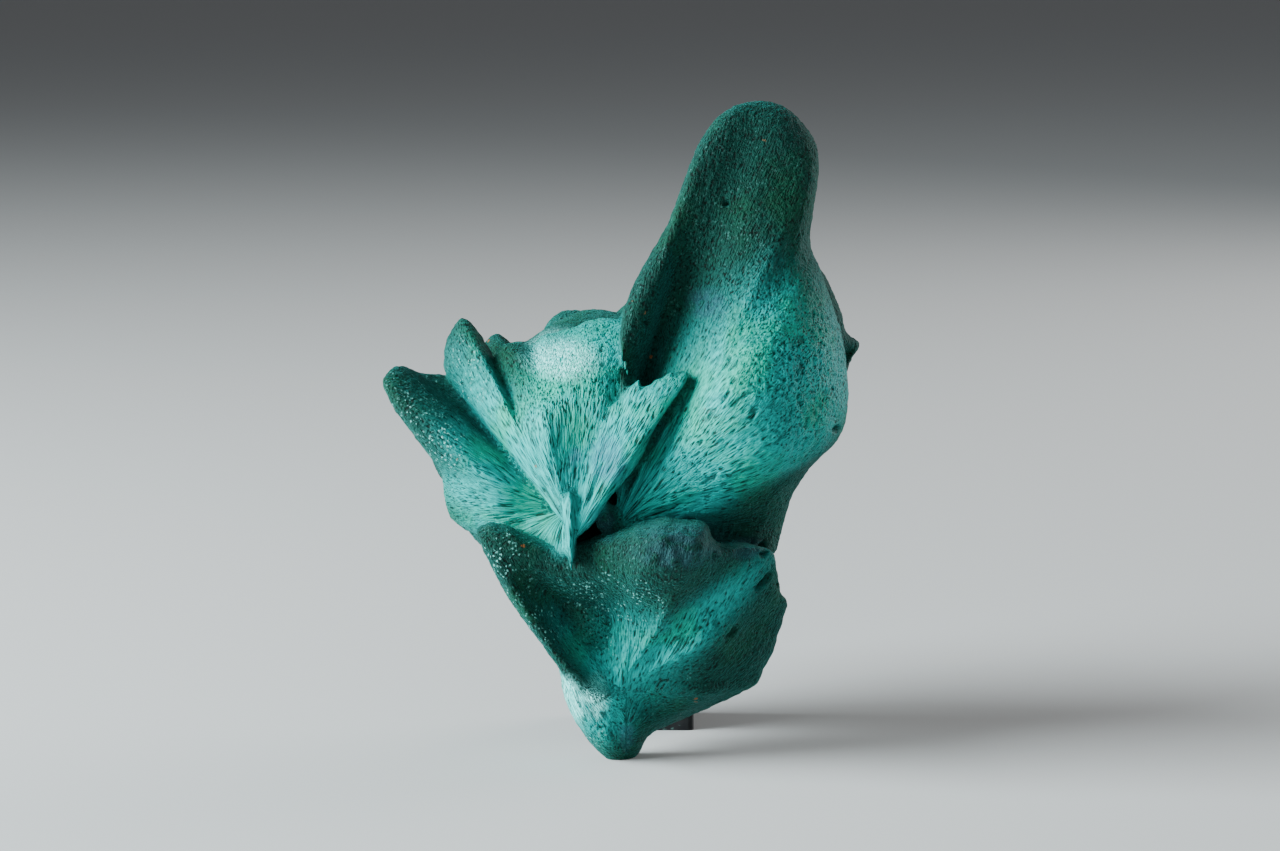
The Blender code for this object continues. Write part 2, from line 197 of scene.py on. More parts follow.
# %% Petal rows: the centre fan and the left lobe
CENTRE_FAN = Petal(
    "centre_fan",
    (-3.5, -6.4, 17.0),
    FRONTWARD,
    [
        (-12.6, 5.2, 26.4, -0.4, 0.0, 3.0, 0.9),
        (-12.8, 4.6, 27.6, 0.2, 0.5, 3.0, 0.85),
        (-12.4, 4.0, 29.4, 0.8, 0.8, 3.0, 0.8),
        (-11.3, 4.0, 30.9, 1.2, 1.0, 2.5, 0.75),
        (-10.1, 3.8, 29.8, 1.5, 0.9, 2.5, 0.75),
        (-9.2, 2.8, 28.2, 1.6, 0.6, 3.0, 0.7),
        (-8.7, 2.5, 28.9, 1.7, 0.8, 3.5, 0.65),
        (-7.5, 2.2, 29.3, 1.9, 0.9, 4.0, 0.7),
        (-6.4, 3.2, 28.9, 2.6, 1.5, 5.0, 0.9),
        (-5.4, 4.3, 29.4, 2.7, 2.0, 5.0, 1.1),
        (-3.7, 5.4, 29.6, 2.9, 2.8, 6.0, 1.1),
        (-2.1, 5.8, 30.2, 2.8, 3.0, 6.0, 1.1),
        (-0.4, 5.0, 30.4, 2.4, 2.8, 6.0, 1.1),
        (0.6, 3.4, 29.9, 1.8, 2.2, 6.0, 1.1),
        (1.0, 1.0, 28.2, 1.1, 1.4, 5.0, 1.0),
        (1.2, -2.0, 26.5, 0.8, 0.5, 4.0, 1.0),
    ],
    0.15,
)
LEFT_LOBE = Petal(
    "left_lobe",
    (-3.9, -3.0, 18.1),
    FRONTWARD,
    [
        (-10.8, 7.0, 28.6, 0.0, 0.0, 3.0, 0.7),
        (-11.9, 6.5, 26.7, -0.5, -0.2, 3.0, 0.4),
        (-13.1, 5.5, 26.8, -0.5, 0.0, 2.5, 0.25),
        (-14.3, 4.5, 26.9, -0.3, 0.4, 2.5, 0.3),
        (-15.5, 3.0, 27.6, 0.0, 0.8, 2.5, 0.45),
        (-16.4, 2.0, 27.5, 0.3, 1.0, 2.5, 0.55),
        (-16.8, 1.0, 26.7, 0.6, 1.2, 2.5, 0.6),
        (-16.4, 0.5, 25.5, 0.8, 1.2, 2.5, 0.6),
        (-15.4, 0.0, 24.0, 1.0, 1.2, 3.0, 0.6),
        (-13.8, 0.0, 21.9, 1.2, 1.2, 3.5, 0.7),
        (-12.7, 0.5, 20.3, 1.0, 1.0, 4.0, 0.9),
        (-12.6, 1.0, 18.8, 0.8, 0.8, 4.0, 1.0),
        (-12.3, 1.5, 17.3, 0.6, 0.8, 4.0, 0.8),
        (-11.5, 1.5, 16.3, 0.5, 0.8, 4.0, 0.9),
        (-10.3, 1.0, 15.8, 0.3, 0.6, 4.0, 1.0),
        (-7.8, -1.0, 15.4, 0.3, 0.5, 4.0, 1.1),
        (-5.3, -4.0, 15.3, 0.2, 0.4, 3.0, 1.1),
        (-4.0, -5.8, 15.4, 0.2, 0.3, 2.0, 1.1),
    ],
    0.1,
)
print("centre fan rows:", len(CENTRE_FAN.rows), "left lobe rows:", len(LEFT_LOBE.rows))

# %% Petal rows: the lower block and the foot
LOWER_BLOCK = Petal(
    "lower_block",
    (-0.5, -4.0, 5.5),
    FRONTWARD,
    [
        (-1.5, -6.3, 5.0, 0.2, 0.4, 1.2, 0.3),
        (-3.2, -6.0, 6.1, 0.3, 0.6, 1.4, 0.3),
        (-4.7, -5.3, 7.8, 0.4, 1.0, 1.8, 0.3),
        (-6.4, -4.5, 10.0, 0.2, 1.5, 3.0, 0.35),
        (-7.8, -4.0, 11.9, 0.2, 1.8, 4.0, 0.35),
        (-8.8, -4.0, 13.7, 0.0, 1.9, 4.0, 0.35),
        (-9.8, -4.0, 15.8, -0.4, 1.8, 4.0, 0.35),
        (-10.0, -4.0, 16.8, -0.8, 1.8, 4.0, 0.35),
        (-9.3, -4.0, 17.3, -1.2, 1.8, 4.0, 0.35),
        (-8.0, -4.3, 17.1, -2.2, 1.6, 4.0, 0.35),
        (-6.3, -4.5, 16.2, -2.6, 1.2, 4.0, 0.35),
        (-4.2, -4.8, 15.6, -2.6, 1.0, 4.0, 0.35),
        (-2.2, -5.5, 16.1, -2.4, 1.0, 5.0, 0.35),
        (0.2, -7.0, 16.8, -2.0, 1.2, 5.0, 0.35),
        (2.3, -8.5, 17.3, -1.4, 1.4, 5.5, 0.35),
        (5.4, -8.5, 17.2, -0.6, 1.4, 5.5, 0.35),
        (6.3, -7.0, 15.8, 0.4, 1.0, 5.5, 0.45),
        (8.2, -5.0, 15.8, 0.6, 1.0, 6.0, 0.6),
        (9.6, -3.8, 15.5, 0.9, 1.0, 6.0, 0.8),
        (10.7, -2.5, 14.8, 1.4, 1.0, 5.0, 0.9),
        (11.1, -0.5, 12.1, 2.2, 1.2, 5.0, 0.55),
        (11.7, 1.0, 11.0, 2.4, 1.0, 5.0, 0.35),
        (11.4, 1.5, 9.6, 2.0, 1.2, 5.0, 0.25),
        (10.5, 2.0, 7.2, 1.6, 1.5, 4.0, 0.2),
        (9.5, 2.5, 5.1, 1.0, 1.5, 3.0, 0.2),
    ],
    0.15,
    (0.0, -3.0, 1.5),
)
FOOT = Petal(
    "foot",
    (-0.5, -4.0, 5.5),
    FRONTWARD,
    [
        (-4.5, -2.5, 7.8, 0.3, 0.5, 3.0, 1.0),
        (-4.1, -1.5, 5.2, 0.8, 1.0, 4.0, 0.9),
        (-3.3, -0.5, 3.3, 1.2, 1.2, 4.0, 0.8),
        (-2.3, -0.2, 1.5, 1.0, 1.2, 3.0, 0.7),
        (-1.1, 0.0, 0.1, 0.8, 1.0, 2.0, 0.6),
        (0.0, 0.3, -0.5, 0.4, 0.9, 1.8, 0.5),
        (1.1, 0.7, 0.3, 0.6, 1.0, 2.0, 0.5),
        (2.0, 1.5, 1.7, 1.0, 1.0, 3.0, 0.3),
        (4.8, 4.0, 2.5, 1.5, 1.0, 3.0, 0.2),
        (8.4, 4.0, 4.1, 2.0, 1.2, 3.0, 0.2),
        (9.5, 3.0, 4.9, 2.0, 1.5, 4.0, 0.2),
        (9.9, 2.6, 6.0, 1.7, 1.4, 4.0, 0.2),
    ],
    0.0,
    (-9.0, -4.0, 16.0),
)
print("lower block rows:", len(LOWER_BLOCK.rows), "foot rows:", len(FOOT.rows))

# %% Petal rows: the four petals of the back
BACK_TALL = Petal(
    "back_tall",
    (2.0, 8.0, 19.0),
    BACKWARD,
    [
        (-0.6, 5.0, 30.0, 1.0, 2.0, 4.0, 0.3),
        (1.6, 4.5, 34.4, 1.5, 2.0, 4.0, 0.3),
        (4.8, 4.5, 39.6, 2.5, 1.5, 3.0, 0.4),
        (7.3, 5.0, 44.0, 3.0, 1.5, 2.0, 0.4),
        (10.0, 5.5, 45.3, 2.0, 1.6, 2.0, 0.4),
        (12.6, 5.8, 43.6, 1.5, 1.6, 2.0, 0.4),
        (12.8, 6.2, 39.0, 2.5, 2.0, 3.0, 0.4),
        (12.4, 7.5, 35.0, 3.0, 2.5, 4.0, 0.3),
    ],
    0.0,
)
BACK_RIGHT = Petal(
    "back_right",
    (4.0, 9.0, 20.0),
    BACKWARD,
    [
        (12.2, 9.5, 35.6, 1.0, 1.5, 4.0, 0.4),
        (14.4, 11.5, 33.6, 1.5, 2.2, 4.0, 0.4),
        (15.7, 13.0, 30.7, 1.5, 2.4, 4.0, 0.4),
        (16.2, 13.8, 28.9, 1.0, 1.6, 3.0, 0.8),
        (17.4, 14.4, 27.9, 1.5, 0.8, 1.0, 0.9),
        (16.4, 13.6, 26.5, 0.8, 1.4, 2.5, 0.8),
        (15.6, 12.5, 23.8, 1.2, 2.0, 4.0, 0.4),
        (13.8, 11.0, 20.2, 1.5, 2.0, 4.0, 0.3),
        (11.2, 9.5, 17.2, 1.0, 1.8, 4.0, 0.3),
    ],
    0.0,
)
BACK_LEFT = Petal(
    "back_left",
    (0.0, 8.0, 19.5),
    BACKWARD,
    [
        (0.5, 10.0, 30.6, 1.5, 2.0, 5.0, 0.3),
        (-2.3, 12.0, 30.5, 2.5, 2.5, 5.0, 0.3),
        (-5.0, 11.5, 29.6, 2.0, 2.5, 5.0, 0.3),
        (-7.6, 9.5, 28.4, 1.5, 1.5, 4.0, 0.3),
        (-9.3, 9.0, 29.2, 2.5, 2.0, 3.0, 0.3),
        (-11.0, 8.0, 26.6, 3.0, 2.5, 3.0, 0.3),
        (-12.3, 6.5, 23.0, 2.5, 2.0, 3.0, 0.3),
        (-11.4, 5.5, 19.0, 2.0, 2.5, 3.0, 0.3),
        (-8.6, 5.0, 16.6, 1.5, 2.0, 4.0, 0.3),
    ],
    0.0,
)
BACK_LOW = Petal(
    "back_low",
    (2.0, 7.0, 18.0),
    BACKWARD,
    [
        (-7.4, 2.0, 14.6, 1.0, 1.5, 4.0, 0.4),
        (-5.8, 2.5, 10.4, 2.5, 2.0, 4.0, 0.4),
        (-3.4, 3.0, 6.4, 2.5, 2.5, 4.0, 0.4),
        (-0.6, 4.0, 4.0, 3.0, 2.5, 5.0, 0.4),
        (3.0, 6.0, 4.2, 4.5, 3.0, 6.0, 0.4),
        (6.6, 6.5, 5.0, 3.5, 3.0, 5.0, 0.4),
        (9.4, 5.0, 7.4, 2.5, 2.5, 4.0, 0.4),
        (10.4, 4.5, 11.2, 3.0, 2.5, 4.0, 0.4),
        (10.6, 5.0, 15.4, 2.0, 2.0, 4.0, 0.4),
    ],
    0.0,
)
PETALS = [TALL_LOBE, TONGUE, SPIKE, CENTRE_FAN, LEFT_LOBE, LOWER_BLOCK, FOOT]
PETALS += [BACK_TALL, BACK_RIGHT, BACK_LEFT, BACK_LOW]
print("petals:", [petal.name for petal in PETALS])

# %% [markdown]
# The back is a cluster of rounded lobes: sprays that grew freely and kept their velvet. Each is an
# ellipsoid with a centre, three radii and a lean to the right in degrees.

# %% Lobe sizes
LOBES = [
    ((4.0, 3.5, 16.5), (6.8, 6.0, 5.0), 0.0),
    ((-3.6, 2.0, 20.5), (5.0, 5.5, 5.0), 0.0),
    ((-2.8, 1.2, 11.0), (4.0, 4.6, 6.0), -25.0),
    ((-1.1, -4.4, 17.8), (0.8, 0.7, 1.1), 0.0),
    ((2.4, 15.6, 25.6), (5.0, 5.2, 6.8), 26.0),
    ((-2.6, 16.8, 21.4), (5.2, 6.0, 7.4), 12.0),
    ((-8.2, 14.0, 21.8), (5.4, 6.2, 6.2), -14.0),
    ((7.4, 12.2, 21.4), (3.4, 3.4, 4.8), 35.0),
    ((3.6, 15.2, 17.0), (5.0, 5.0, 4.6), -20.0),
    ((-6.8, 12.0, 16.8), (5.2, 6.0, 4.8), 15.0),
    ((-0.2, 12.8, 12.8), (6.0, 5.0, 4.0), 8.0),
    ((6.6, 10.2, 12.8), (3.4, 4.2, 4.0), 15.0),
    ((-3.6, 17.6, 27.0), (2.6, 2.4, 3.2), -10.0),
    ((-6.8, 18.2, 17.4), (4.4, 4.8, 5.0), -10.0),
    ((-10.4, 13.8, 20.8), (3.8, 4.6, 4.4), -8.0),
    ((-7.4, 20.0, 22.6), (4.6, 4.2, 5.0), -6.0),
]
print("lobes:", len(LOBES))


# %% [markdown]
# ## Noise along the fibres
# Fibres keep their width as they spread, so new ones must start between the old ones. Noise that is
# read by direction from the root widens with distance. Two layers of it, one twice as fine as the
# other, are cross-faded so that the visible width stays the same from root to rim.


# %% Noise helpers
def lattice(cell, salt):
    """A repeatable number from -1 to 1 for each whole-numbered cell."""
    prime = np.array([73856093, 19349663, 83492791], dtype=np.int64)
    mixed = ((cell.astype(np.int64) * prime).sum(axis=-1) + salt * 40503) & 0x7FFFFFFF
    mixed = ((mixed ^ (mixed >> 13)) * 1274126177) & 0x7FFFFFFF
    mixed = ((mixed ^ (mixed >> 15)) * 2246822519) & 0x7FFFFFFF
    return mixed / 0x3FFFFFFF - 1.0


def noise(points, salt):
    """Smooth noise from -1 to 1 at each point, with features one unit wide."""
    base = np.floor(points).astype(np.int64)
    part = points - base
    part = part * part * (3.0 - 2.0 * part)
    total = np.zeros(len(points))
    for corner in range(8):
        step = np.array([corner & 1, corner >> 1 & 1, corner >> 2 & 1])
        weight = np.where(step == 1, part, 1.0 - part).prod(axis=1)
        total += weight * lattice(base + step, salt)
    return total


STRAIGHT = 10.0  # millimetres from the root at which streaks have their plain length


def fibre_noise(away, width, length, salt):
    """Noise in streaks that run away from the root, of the given width and length in millimetres.

    Near the root the streaks are longer, because the fibres there haven't begun to part yet.
    """
    radius = np.maximum(np.linalg.norm(away, axis=1), 1e-6)
    direction = away / radius[:, None]
    level = np.log2(np.maximum(radius / width, 1.0))
    low = 2.0 ** np.floor(level)
    along = radius / length * np.minimum(0.5 * radius / STRAIGHT, 1.0)
    coarse = noise(direction * (low + along)[:, None], salt)
    fine = noise(direction * (2.0 * low + along)[:, None], salt)
    fade = level - np.floor(level)
    return (coarse * (1.0 - fade) + fine * fade) / np.sqrt(fade**2 + (1.0 - fade) ** 2)


def smoothstep(low, high, value):
    """0 below low, 1 above high, and a smooth S-curve between them."""
    part = np.clip((value - low) / (high - low), 0.0, 1.0)
    return part * part * (3.0 - 2.0 * part)


print("noise sample:", noise(np.array([[0.3, 0.7, 1.9]]), 1).round(3))

# %% [markdown]
# ## From rows to closed petals
# A smooth curve runs through the rows. At each step along it, a closed loop goes from the root out
# along the front face, round the rim and home along the back. Loops side by side make a solid.
# Every point also keeps which petal it belongs to, how far out it lies and whether it is silk.

# %% Loft a petal
STEPS_PER_ROW = 12
PROFILE_STEPS = 32
SILK_FADE = 0.28
TOOTH_WIDTH = 0.5  # of the teeth on a broken rim, in millimetres
TOOTH_LENGTH = 40.0  # longer than any petal, so that a tooth keeps its place along its fibres
HUMP_AT = 0.45  # share of the way out at which the front swells most
HUMP_WIDTH = 0.26


def through(rows, steps):
    """Sections on one smooth curve through the rows, with the given steps in each span."""
    rows = np.array(rows, float)
    ends = np.vstack([2 * rows[0] - rows[1], rows, 2 * rows[-1] - rows[-2]])
    t = np.linspace(0.0, 1.0, steps, endpoint=False)[:, None]
    spans = []
    for a, b, c, d in zip(ends, ends[1:], ends[2:], ends[3:]):
        bend = (2 * a - 5 * b + 4 * c - d) * t**2 + (3 * b - a - 3 * c + d) * t**3
        spans.append(b + 0.5 * ((c - a) * t + bend))
    return np.vstack(spans + [rows[-1:]])


def section(root, face, column):
    """One closed loop of a petal, with each point's share of the way out and its silk."""
    rim, swell, front, back, silk = column[:3], column[3], column[4], column[5], column[6]
    chord = rim - root
    length = np.linalg.norm(chord)
    out = face - chord * (face @ chord) / length**2
    out /= np.linalg.norm(out)
    v = np.sin(0.5 * math.pi * np.linspace(0.0, 1.0, PROFILE_STEPS + 1))[1:-1]
    rounding = min(0.5 * (abs(front) + back) / length, 0.45)
    cap = np.sqrt(1.0 - np.clip((v - 1.0 + rounding) / rounding, 0.0, 1.0) ** 2)
    hump = np.exp(-(((v - HUMP_AT) / HUMP_WIDTH) ** 2))
    ahead = (swell * hump + front * smoothstep(0.2, 0.8, v)) * cap
    behind = back * (0.15 + 0.85 * smoothstep(0.0, 0.6, v)) * cap
    along = root + v[:, None] * chord
    points = np.vstack([along + ahead[:, None] * out, rim, (along - behind[:, None] * out)[::-1]])
    shares = np.concatenate([v, [1.0], v[::-1]])
    silks = 1.0 - smoothstep(silk - SILK_FADE, silk + SILK_FADE, shares)
    silks[len(v) + 1 :] = 0.0
    return points, shares, silks


def loft(petal):
    """The petal's points, faces, shares of the way out and silk. The root is the first point."""
    root, face = np.array(petal.root), np.array(petal.face)
    columns = through(petal.rows, STEPS_PER_ROW)
    away = columns[:, :3] - root
    teeth = petal.jag * fibre_noise(away, TOOTH_WIDTH, TOOTH_LENGTH, 5)
    columns[:, :3] += teeth[:, None] * away / np.linalg.norm(away, axis=1)[:, None]
    made = [section(root, face, column) for column in columns]
    points = np.vstack([root] + [m[0] for m in made])
    shares = np.concatenate([[0.0]] + [m[1] for m in made])
    silks = np.concatenate([[1.0]] + [m[2] for m in made])
    ring = len(made[0][0])
    faces = []
    for k in range(len(made) - 1):
        one, two = 1 + k * ring, 1 + (k + 1) * ring
        faces.append((0, one, two))
        faces.append((0, two + ring - 1, one + ring - 1))
        faces += [(one + i, one + i + 1, two + i + 1, two + i) for i in range(ring - 1)]
    last = 1 + (len(made) - 1) * ring
    faces.append([0] + list(range(ring, 0, -1)))
    faces.append([0] + list(range(last, last + ring)))
    return points, faces, shares, silks


parts = [loft(petal) for petal in PETALS]
print("petal points:", sum(len(p[0]) for p in parts))


# %% Shape a lobe
LOBE_RINGS = 40
LOBE_SECTORS = 80


def lobe_points(lobe):
    """An ellipsoid as rings of points, and its faces."""
    centre, radii, lean = lobe
    polar = np.linspace(0.0, math.pi, LOBE_RINGS + 1)[1:-1]
    around = np.linspace(0.0, 2.0 * math.pi, LOBE_SECTORS, endpoint=False)
    p, a = np.meshgrid(polar, around, indexing="ij")
    ball = np.stack([np.sin(p) * np.cos(a), np.sin(p) * np.sin(a), np.cos(p)], axis=-1)
    ball = np.vstack([[0, 0, 1], ball.reshape(-1, 3), [0, 0, -1]]) * radii
    turn = math.radians(lean)
    x = ball[:, 0] * math.cos(turn) + ball[:, 2] * math.sin(turn)
    z = ball[:, 2] * math.cos(turn) - ball[:, 0] * math.sin(turn)
    points = np.stack([x, ball[:, 1], z], axis=1) + centre
    faces = []
    last = len(points) - 1
    for s in range(LOBE_SECTORS):
        t = (s + 1) % LOBE_SECTORS
        faces.append((0, 1 + s, 1 + t))
        faces.append((last, last - LOBE_SECTORS + t, last - LOBE_SECTORS + s))
        for r in range(LOBE_RINGS - 2):
            one, two = 1 + r * LOBE_SECTORS, 1 + (r + 1) * LOBE_SECTORS
            faces.append((one + s, two + s, two + t, one + t))
    return points, faces


lobes = [lobe_points(lobe) for lobe in LOBES]
print("lobe points:", sum(len(points) for points, _ in lobes))

# %% [markdown]
# ## One skin over all petals
# A voxel remesh melts the overlapping solids into one closed skin with even faces, which is what
# fine relief needs. A few rounds of smoothing take away the steps that the voxels leave.

# %% Merge and smooth
VOXEL = 0.15
SMOOTH_ROUNDS = 14


def join(pieces):
    """One mesh from many lists of points and faces, in millimetres."""
    points, faces, start = [], [], 0
    for piece in pieces:
        points.append(piece[0])
        faces += [[start + i for i in face] for face in piece[1]]
        start += len(piece[0])
    mesh = bpy.data.meshes.new("rough_stone")
    mesh.from_pydata(np.vstack(points).tolist(), [], faces)
    return mesh


rough = bpy.data.objects.new("rough_stone", join(parts + lobes))
bpy.context.scene.collection.objects.link(rough)
melt = rough.modifiers.new("melt", "REMESH")
melt.mode = "VOXEL"
melt.voxel_size = VOXEL
soften = rough.modifiers.new("soften", "SMOOTH")
soften.iterations = SMOOTH_ROUNDS
skin = bpy.data.meshes.new_from_object(rough.evaluated_get(bpy.context.evaluated_depsgraph_get()))
bpy.data.objects.remove(rough)
print("skin points:", len(skin.vertices), "faces:", len(skin.polygons))


# %% Keep only the outer shell
def read_points(mesh):
    """The places of a mesh's points, one row each."""
    flat = np.empty(3 * len(mesh.vertices))
    mesh.vertices.foreach_get("co", flat)
    return flat.reshape(-1, 3)


def read_edges(mesh):
    """The two point numbers of each edge."""
    flat = np.empty(2 * len(mesh.edges), dtype=np.int32)
    mesh.edges.foreach_get("vertices", flat)
    return flat.reshape(-1, 2)


def islands(count, edges):
    """The lowest point number in each point's island."""
    label = np.arange(count)
    while True:
        lowest = np.minimum(label[edges[:, 0]], label[edges[:, 1]])
        new = label.copy()
        np.minimum.at(new, edges[:, 0], lowest)
        np.minimum.at(new, edges[:, 1], lowest)
        new = new[new]
        if (new == label).all():
            return label
        label = new


label = islands(len(skin.vertices), read_edges(skin))
kept = label == np.bincount(label).argmax()
if not kept.all():
    quads = np.array([face.vertices[:] for face in skin.polygons])
    renumber = np.cumsum(kept) - 1
    outer = bpy.data.meshes.new("skin")
    outer.from_pydata(read_points(skin)[kept].tolist(), [], renumber[quads[kept[quads[:, 0]]]].tolist())
    skin = outer
print("outer shell points:", len(skin.vertices))

# %% [markdown]
# ## Which petal is this point on?
# The skin has forgotten the petals. For each of its points, the nearest point of the petals and
# lobes says where its fibres start and how silky it is. Lobes are velvet, but handling has rubbed
# a few patches of them a little silky.

# %% Look up the nearest petal point
RUB_WIDTH = 4.5  # of the rubbed patches on the lobes, in millimetres
RUB_SILK = 0.4  # silk in the middle of such a patch

known = np.vstack([part[0] for part in parts] + [lobe[0] for lobe in lobes])


def springs(petal, points):
    """Where the fibres of each point start. Right of the tip, the foot's run on into the block's."""
    made = np.tile(petal.spring or petal.root, (len(points), 1))
    if petal is FOOT:
        made[points[:, 0] > 0.3] = LOWER_BLOCK.spring
    return made


known_root = np.vstack(
    [springs(petal, part[0]) for petal, part in zip(PETALS, parts)]
    + [np.tile(size[0], (len(lobe[0]), 1)) for size, lobe in zip(LOBES, lobes)]
)
rubbed = [RUB_SILK * smoothstep(0.1, 0.7, noise(lobe[0] / RUB_WIDTH, 6)) for lobe in lobes]
known_silk = np.concatenate([part[3] for part in parts] + rubbed)
lookup = KDTree(len(known))
for i, point in enumerate(known):
    lookup.insert(point, i)
lookup.balance()
points = read_points(skin)
nearest = np.array([lookup.find(point)[1] for point in points])
root = known_root[nearest]
silk = known_silk[nearest]
print("silky share of the skin:", round(float(silk.mean()), 3))


# %% Soften the border between silk and velvet
BORDER_ROUNDS = 36


def spread(values, edges, rounds):
    """Averages each point's value with its neighbours', some rounds over."""
    count = np.bincount(edges.ravel(), minlength=len(values))
    for _ in range(rounds):
        total = np.bincount(edges[:, 0], values[edges[:, 1]], len(values))
        total += np.bincount(edges[:, 1], values[edges[:, 0]], len(values))
        values = 0.5 * values + 0.5 * total / count
    return values


edges = read_edges(skin)
silk = spread(silk, edges, BORDER_ROUNDS)
print("silk from", round(float(silk.min()), 2), "to", round(float(silk.max()), 2))

# %% [markdown]
# ## Patches, cracks and pits
# A real specimen has its own marks. Grey-blue bloom lies where the fibres weathered, and short cracks
# run with the fibres. Painted light is laid on too: painted highlights whiten the fans where they face
# the window light, white specks are painted glints, and slits, cracks and pits get painted shade. Each
# mark has a place and a size in millimetres, and sits on the front of the stone, so a place needs only
# its x and z. Marks fade out on whatever turns away from the front, and on the lobes further back.

# %% Marks on the front
FACING_FRONT = (-0.1, 0.25)  # how far a point faces the front where marks start, and are whole
TOO_FAR_BACK = (8.5, 10.5)  # y where marks begin to fade, and are gone

BLOOM = [  # x, z, radius across, radius up
    (-1.0, 22.0, 1.5, 2.0),
    (-3.2, 22.0, 0.5, 0.8),
    (-1.2, 17.4, 1.0, 1.3),
    (5.9, 32.4, 1.6, 1.2),
    (4.2, 15.8, 3.6, 1.2),
    (4.0, 17.0, 2.8, 0.9),
    (8.6, 15.4, 1.4, 0.6),
    (0.4, 1.9, 0.7, 1.5),
]
# Painted highlights, near white where the fans face the window light: x, z, radius across, radius up
PAINTED_HIGHLIGHTS = [
    (-4.2, 28.4, 2.9, 1.4),
    (-3.7, 4.6, 1.4, 2.4),
    (-1.9, 5.0, 1.1, 1.8),
]
# Where the painted glints, white specks of painted reflection, are densest: x, z, radius across, radius
# up
PAINTED_GLINTS = [
    (-14.6, 25.6, 2.2, 2.6),
    (-11.0, 27.0, 1.5, 2.6),
    (-12.4, 22.0, 1.6, 3.0),
    (-8.4, 14.0, 2.4, 3.8),
    (-5.8, 9.6, 1.8, 3.0),
    (-0.6, 12.6, 4.0, 2.4),
    (-14.8, 27.0, 1.2, 1.0),
    (-1.0, 8.6, 0.9, 0.9),
    (-2.4, 2.6, 2.0, 1.6),
]
CRACKS = [  # x and z of both ends, width, depth
    (0.7, 9.2, 0.3, 6.4, 0.1, 0.22),
    (-0.5, 9.6, -0.2, 7.2, 0.1, 0.18),
    (9.2, 12.3, 10.6, 13.7, 0.14, 0.6),
    (7.2, 9.0, 8.2, 10.0, 0.14, 0.5),
    (1.3, 21.6, 3.6, 25.6, 0.15, 0.3),
    (-0.2, 18.6, 1.3, 21.6, 0.15, 0.4),
]
PITS = [  # x, z, radius, depth
    (7.3, 39.3, 0.25, 0.35),
    (1.7, 31.1, 0.16, 0.4),
    (2.4, 29.8, 0.16, 0.3),
    (15.1, 23.4, 0.3, 0.5),
    (9.9, 15.2, 0.3, 0.5),
    (11.4, 12.6, 0.5, 0.5),
]


def patch(points, front, marks):
    """How much of each point lies in soft oval marks on the front."""
    total = np.zeros(len(points))
    for x, z, across, up in marks:
        far = np.hypot((points[:, 0] - x) / across, (points[:, 2] - z) / up)
        total = np.maximum(total, 1.0 - smoothstep(0.4, 1.2, far))
    return total * front


def crack_depth(points, front, cracks):
    """How deep the cracks cut at each point. A crack wavers, and thins out at its ends."""
    total = np.zeros(len(points))
    for x0, z0, x1, z1, width, depth in cracks:
        run = np.array([x1 - x0, z1 - z0])
        rel = points[:, [0, 2]] - (x0, z0)
        t = np.clip(rel @ run / (run @ run), 0.0, 1.0)
        waver = 0.12 * noise(points / 0.6, 31)
        far = np.abs(np.linalg.norm(rel - t[:, None] * run, axis=1) + waver)
        taper = np.sin(np.pi * np.clip(t, 0.04, 0.96))
        total = np.maximum(total, depth * taper * (1.0 - smoothstep(0.0, 2.0 * width, far)))
    return total * front


def pit_depth(points, front, pits):
    """How deep the round pits cut at each point."""
    total = np.zeros(len(points))
    for x, z, radius, depth in pits:
        far = np.hypot(points[:, 0] - x, points[:, 2] - z) / radius
        total = np.maximum(total, depth * (1.0 - smoothstep(0.3, 1.3, far)))
    return total * front


def normals_of(mesh):
    """Which way the skin faces at each point."""
    flat = np.empty(3 * len(mesh.vertices))
    mesh.vertex_normals.foreach_get("vector", flat)
    return flat.reshape(-1, 3)


outward = normals_of(skin)
front = smoothstep(*FACING_FRONT, -outward[:, 1]) * (1.0 - smoothstep(*TOO_FAR_BACK, points[:, 1]))
bloom = patch(points, front, BLOOM)
painted_highlight = patch(points, front, PAINTED_HIGHLIGHTS)
painted_glints = patch(points, front, PAINTED_GLINTS)
cracks = crack_depth(points, front, CRACKS)
pits = pit_depth(points, front, PITS)
print("bloom covers", round(float(bloom.mean()), 3), "frost covers", round(float(painted_highlight.mean()), 3))

# %% [markdown]
# ## Relief
# Where silk shows, the fibres lie in bundles with short dark slits between them. On velvet the same
# fibres end at the surface, so the streaks turn into small round grains, and bloom on velvet makes
# a crust of crumbs. The foot stays smooth where it meets the table.

# %% Push the skin out and in
PLEAT = (2.6, 30.0, 0.06)  # width, length and height of the broad pleats
BUNDLE = (0.8, 4.0, 0.05)  # the same of the bundles of fibres
STRAND = (0.24, 0.8, 0.065)  # the same of single strands
GRAIN = (0.32, 0.045)  # width and height of the velvet's grains
CRUST = (0.7, 0.16)  # width and height of the crumbs where bloom covers velvet
SLIT = (0.26, 0.9, 0.13)  # width, length and depth of the slits between strands
FOOT_SMOOTH = (0.2, 1.2)  # heights at which the relief starts and is whole, in millimetres

